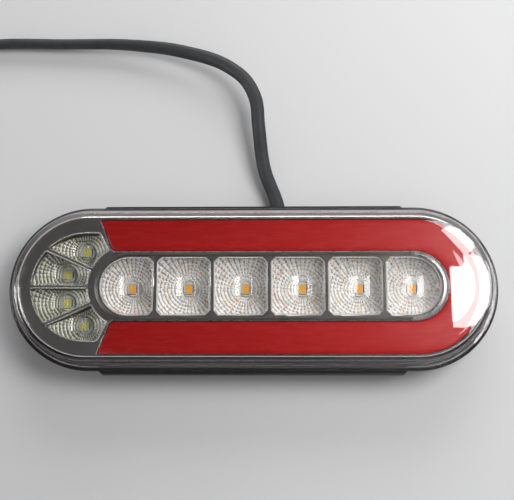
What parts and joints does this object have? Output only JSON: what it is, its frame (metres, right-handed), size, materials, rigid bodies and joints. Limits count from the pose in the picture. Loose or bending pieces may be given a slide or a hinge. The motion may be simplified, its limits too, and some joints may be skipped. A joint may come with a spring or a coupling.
{
  "type": "trailer tail light",
  "caption": "Oval surface-mount LED trailer tail light with clear stepped lens, red C-shaped light guide, amber cell row, reversing fan and side-exit lead.",
  "frame": {"origin": "centre of the flat rear mounting face", "axes": "+X along the lamp's length, away from the reversing fan; +Y towards the long side the lead leaves from; +Z out through the lens"},
  "size_m": [0.313, 0.1792, 0.0306],
  "materials": {
    "housing_black": "moulded black, fine texture",
    "outer_clear": "clear polished acrylic",
    "inner_clear": "clear polished acrylic",
    "seal_rubber": "soft matt",
    "smoked_bezel": "smoked metallised satin",
    "red_diffuser": "translucent red satin",
    "reflector_chrome": "plastic, vacuum metallised to bright chrome, faceted",
    "board": "white solder mask",
    "amber_led": "white package with amber phosphor",
    "white_led": "white package with yellow phosphor",
    "red_led": "white package with red die",
    "zinc_steel": "zinc plated",
    "insert_brass": "turned",
    "chip_black": "moulded epoxy",
    "capacitor_can": "drawn can",
    "lead_jacket": "black PVC jacket, semi-matt",
    "core_yellow": "PVC insulation",
    "core_green": "PVC insulation",
    "core_white": "PVC insulation",
    "core_brown": "PVC insulation",
    "core_red": "PVC insulation"
  },
  "bodies": {
    "lamp": {"base_housing": "housing_black", "outer_lens": "outer_clear", "row_inner_lens": "inner_clear", "reverse_inner_lens": "inner_clear", "lens_seal": "seal_rubber", "lead_grommet": "seal_rubber", "bezel_trim": "smoked_bezel", "red_light_guide": "red_diffuser", "row_reflector": "reflector_chrome", "reverse_reflector": "reflector_chrome", "circuit_board": "board", "amber_led_1": "amber_led", "amber_led_2": "amber_led", "amber_led_3": "amber_led", "amber_led_4": "amber_led", "amber_led_5": "amber_led", "amber_led_6": "amber_led", "white_led_1": "white_led", "white_led_2": "white_led", "white_led_3": "white_led", "white_led_4": "white_led", "red_led_1": "red_led", "red_led_2": "red_led", "red_led_3": "red_led", "red_led_4": "red_led", "red_led_5": "red_led", "red_led_6": "red_led", "red_led_7": "red_led", "board_screw_1": "zinc_steel", "board_screw_2": "zinc_steel", "board_screw_3": "zinc_steel", "board_screw_4": "zinc_steel", "clamp_screw_1": "zinc_steel", "clamp_screw_2": "zinc_steel", "lead_clamp": "zinc_steel", "mounting_insert_left": "insert_brass", "mounting_insert_right": "insert_brass", "voltage_regulator": "chip_black", "polarity_diode": "chip_black", "driver_chip": "chip_black", "smoothing_capacitor": "capacitor_can", "lead_exit": "lead_jacket", "board_core_yellow": "core_yellow", "board_core_green": "core_green", "board_core_white": "core_white", "board_core_brown": "core_brown", "board_core_red": "core_red"},
    "lead_middle": {"lead_middle": "lead_jacket"},
    "lead_tail": {"lead_tail": "lead_jacket", "tail_core_yellow": "core_yellow", "tail_core_green": "core_green", "tail_core_white": "core_white", "tail_core_brown": "core_brown", "tail_core_red": "core_red"}
  },
  "joints": [
    {"name": "lead_swing", "type": "hinge", "parent": "lamp", "child": "lead_middle", "pos_m": [0.0124, 0.045, 0.0046], "axis": [0, 0, 1], "range_deg": [-35, 15]},
    {"name": "lead_bend", "type": "hinge", "parent": "lead_middle", "child": "lead_tail", "pos_m": [-0.0045, 0.111, 0.012], "axis": [0, 0, 1], "range_deg": [-40, 12]}
  ]
}
